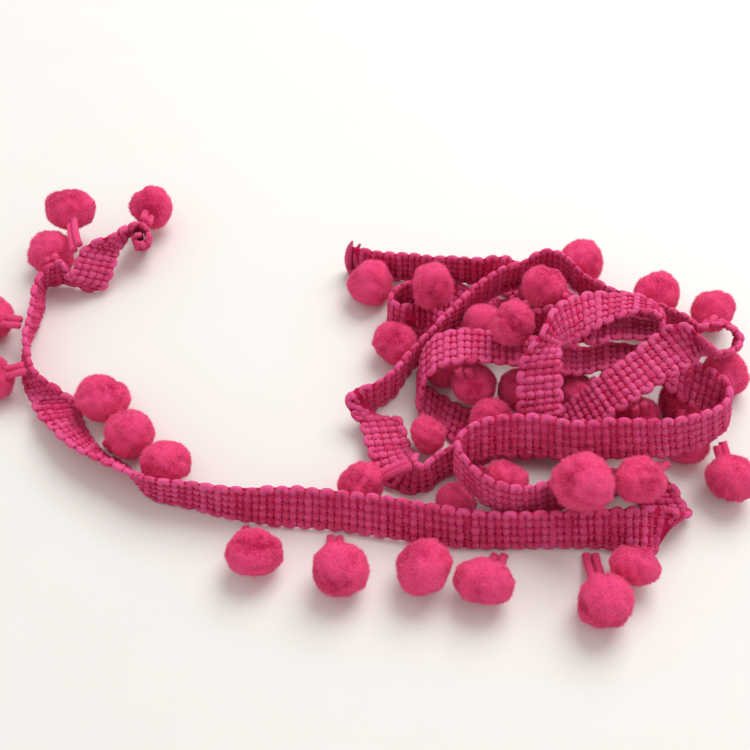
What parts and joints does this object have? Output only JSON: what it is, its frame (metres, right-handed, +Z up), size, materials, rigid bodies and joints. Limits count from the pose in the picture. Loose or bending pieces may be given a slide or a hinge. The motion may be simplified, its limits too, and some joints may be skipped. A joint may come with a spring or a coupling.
{
  "type": "pompom fringe trim",
  "caption": "Woven tape with scalloped edges lying in loose loops, fringed along one edge with small fluffy pompoms on short looped yarn stems.",
  "frame": {"origin": "middle of the heap's box, on the table that it lies on", "axes": "+Z up from the table; +X to the right of the picture; -Y towards the viewer; the longer way of the heap is along X"},
  "size_m": [0.188, 0.122, 0.0271],
  "materials": {
    "tape": "soft woven yarn",
    "pompom": "fluffy cut yarn"
  },
  "bodies": {
    "root": {"tape": "tape", "pompom_01": "pompom", "pompom_02": "pompom", "pompom_03": "pompom", "pompom_04": "pompom", "pompom_05": "pompom", "pompom_06": "pompom", "pompom_07": "pompom", "pompom_08": "pompom", "pompom_09": "pompom", "pompom_10": "pompom", "pompom_11": "pompom", "pompom_12": "pompom", "pompom_13": "pompom", "pompom_14": "pompom", "pompom_15": "pompom", "pompom_16": "pompom", "pompom_17": "pompom", "pompom_18": "pompom", "pompom_19": "pompom", "pompom_20": "pompom", "pompom_21": "pompom", "pompom_22": "pompom", "pompom_23": "pompom", "pompom_24": "pompom", "pompom_25": "pompom", "pompom_26": "pompom", "pompom_27": "pompom", "pompom_28": "pompom", "pompom_29": "pompom", "pompom_30": "pompom", "pompom_31": "pompom", "pompom_32": "pompom", "pompom_33": "pompom", "pompom_34": "pompom", "pompom_35": "pompom", "pompom_36": "pompom", "pompom_37": "pompom", "pompom_38": "pompom", "pompom_39": "pompom", "pompom_40": "pompom", "pompom_41": "pompom", "pompom_42": "pompom", "pompom_43": "pompom", "pompom_44": "pompom"}
  },
  "joints": []
}
